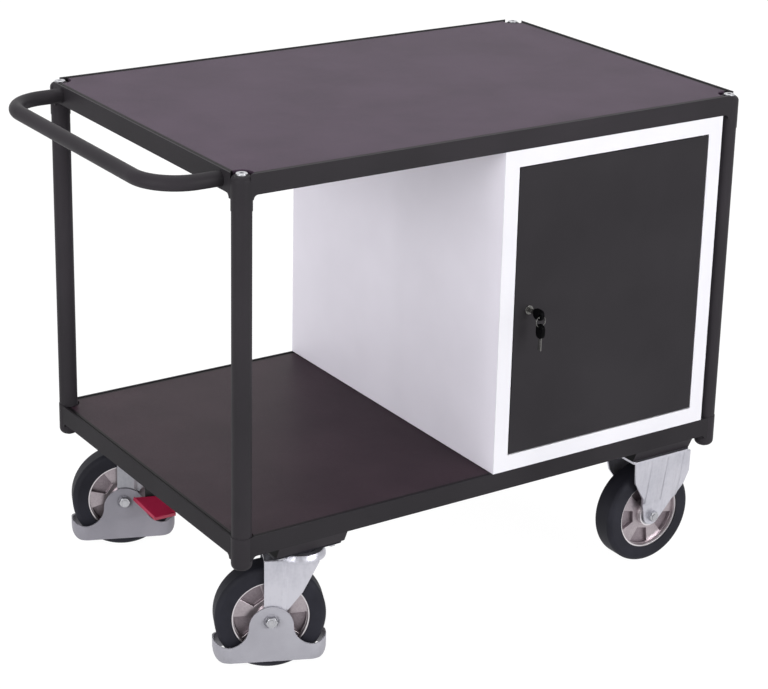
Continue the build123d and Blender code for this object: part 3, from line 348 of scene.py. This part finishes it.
EDGES = {
    0.0012: ["upper_long_rails", "upper_short_rails", "lower_long_rails", "lower_short_rails",
             "front_foot_guard", "rear_foot_guard", "front_brake_pedal", "rear_brake_pedal",
             "front_swivel_fork", "rear_swivel_fork", "fixed_forks"],
    0.0008: ["top_board", "lower_board", "cross_members", "front_fixed_rim", "rear_fixed_rim",
             "front_swivel_rim", "rear_swivel_rim", "front_brake_bracket", "rear_brake_bracket",
             "lock_key_head", "spare_key_head"],
    0.0005: ["fixed_axle_nuts", "front_swivel_axle_nuts", "rear_swivel_axle_nuts", "castor_nuts",
             "castor_bolts", "corner_screws", "cabinet_front_frame", "cabinet_wrap", "door", "lock_barrel",
             "lock_plug"],
}
WELD_REACH = 1e-5
FLAT_ANGLE = math.radians(0.4)
SHARP_ANGLE = math.radians(32)
EDGE_SEGMENTS = 2


def soften(node, width):
    """Round a node's sharp edges with modifiers alone."""
    joined = node.modifiers.new("join", "WELD")
    joined.merge_threshold = WELD_REACH
    flat = node.modifiers.new("flat", "DECIMATE")
    flat.decimate_type = "DISSOLVE"
    flat.angle_limit = FLAT_ANGLE
    bevel = node.modifiers.new("edges", "BEVEL")
    bevel.width = width
    bevel.segments = EDGE_SEGMENTS
    bevel.limit_method = "ANGLE"
    bevel.angle_limit = SHARP_ANGLE
    bevel.harden_normals = True


for edge, names in EDGES.items():
    for name in names:
        soften(nodes[name], edge)


# Stage: pale floor, and a pale backdrop round its edge that only the camera sees

FLOOR_REACH = 30.0
FLOOR_GLOW = 0.97
BACKDROP_R = 29.0
BACKDROP_H = 25.0
BACKDROP_SIDES = 96
PALE_CLOUD_SCALE = 3.0
WHITE = (1.0, 1.0, 1.0, 1.0)

pale = Paint("pale_floor", 0.9, specular=0.1)
pale.colour(pale.blend(pale.span(pale.noise(PALE_CLOUD_SCALE), *GRAIN_SPAN),
                       linear(70, 70, 71), linear(76, 76, 77)))
pale.shader.inputs["Emission Color"].default_value = WHITE
pale.shader.inputs["Emission Strength"].default_value = FLOOR_GLOW


def pale_sheet(name, points, faces):
    """Stage sheet in the pale paint that sends no light of its own to matt surfaces."""
    mesh = bpy.data.meshes.new(name)
    mesh.from_pydata(points, [], faces)
    mesh.materials.append(pale.material)
    sheet = bpy.data.objects.new(name, mesh)
    sheet.visible_diffuse = False
    bpy.context.scene.collection.objects.link(sheet)
    return sheet


corners = [(x * FLOOR_REACH, y * FLOOR_REACH, 0) for x, y in ((-1, -1), (1, -1), (1, 1), (-1, 1))]
floor = pale_sheet("floor", corners, [(0, 1, 2, 3)])

turns = [math.tau * i / BACKDROP_SIDES for i in range(BACKDROP_SIDES)]
after = [(i + 1) % BACKDROP_SIDES for i in range(BACKDROP_SIDES)]
rings = [(BACKDROP_R * math.cos(a), BACKDROP_R * math.sin(a), z) for z in (0.0, BACKDROP_H) for a in turns]
backdrop = pale_sheet("backdrop", rings,
                      [(i, j, BACKDROP_SIDES + j, BACKDROP_SIDES + i) for i, j in enumerate(after)])
backdrop.visible_glossy = False
backdrop.visible_shadow = False


# Light: a white studio, brighter behind the part on the right, and three soft boxes

BRIGHT_SIDE = (0.55, 0.8, 0.2)
STUDIO_SPAN = {"From Min": 0.2, "From Max": 0.8, "To Min": 0.6, "To Max": 1.2}

world = bpy.data.worlds.new("studio")
world.use_nodes = True
studio = world.node_tree
background = studio.nodes["Background"].inputs
background["Color"].default_value = WHITE
heading = studio.nodes.new("ShaderNodeVectorMath")
heading.operation = "DOT_PRODUCT"
heading.inputs[1].default_value = BRIGHT_SIDE
studio.links.new(studio.nodes.new("ShaderNodeTexCoord").outputs["Generated"], heading.inputs[0])
glow = studio.nodes.new("ShaderNodeMapRange")
for key, number in STUDIO_SPAN.items():
    glow.inputs[key].default_value = number
studio.links.new(heading.outputs["Value"], glow.inputs["Value"])
studio.links.new(glow.outputs["Result"], background["Strength"])
bpy.context.scene.world = world
bpy.context.scene.view_settings.view_transform = "Standard"


def softbox(name, place, aim, width, height, watts):
    """Rectangular area light pointed at a place."""
    data = bpy.data.lights.new(name, "AREA")
    data.shape = "RECTANGLE"
    data.size = width
    data.size_y = height
    data.energy = watts
    lamp = bpy.data.objects.new(name, data)
    lamp.location = place
    lamp.rotation_euler = (Vector(aim) - Vector(place)).to_track_quat("-Z", "Y").to_euler()
    bpy.context.scene.collection.objects.link(lamp)


softbox("key_light", place=(1.4, -4.2, 1.7), aim=(0.0, 0.0, 0.5), width=2.4, height=1.2, watts=122)
softbox("side_light", place=(-4.0, -1.4, 1.5), aim=(0.0, 0.0, 0.6), width=2.0, height=2.2, watts=95)
softbox("top_light", place=(0.0, 0.4, 4.2), aim=(0.0, 0.0, 0.5), width=3.0, height=3.0, watts=55)


# Camera at the photo's angle

CAMERA_PLACE = (-2.142995, -3.273023, 1.98134)
AZIMUTH = math.radians(-33.783)
ELEVATION = math.radians(18.9581)
ROLL = math.radians(1.3331)
SENSOR_W = 36.0
LENS = 103.2693
SHIFT_X = -0.00521
SHIFT_Y = -0.11654

camera_data = bpy.data.cameras.new("camera")
camera_data.sensor_width = SENSOR_W
camera_data.lens = LENS
camera_data.shift_x = SHIFT_X
camera_data.shift_y = SHIFT_Y
camera = bpy.data.objects.new("camera", camera_data)
back = Vector((math.sin(AZIMUTH) * math.cos(ELEVATION), -math.cos(AZIMUTH) * math.cos(ELEVATION),
               math.sin(ELEVATION)))
right = Vector((0, 0, 1)).cross(back).normalized()
up = back.cross(right)
across = right * math.cos(ROLL) + up * math.sin(ROLL)
above = up * math.cos(ROLL) - right * math.sin(ROLL)
turn = Matrix((across, above, back)).transposed().to_4x4()
camera.matrix_world = Matrix.Translation(CAMERA_PLACE) @ turn
bpy.context.scene.collection.objects.link(camera)
bpy.context.scene.camera = camera
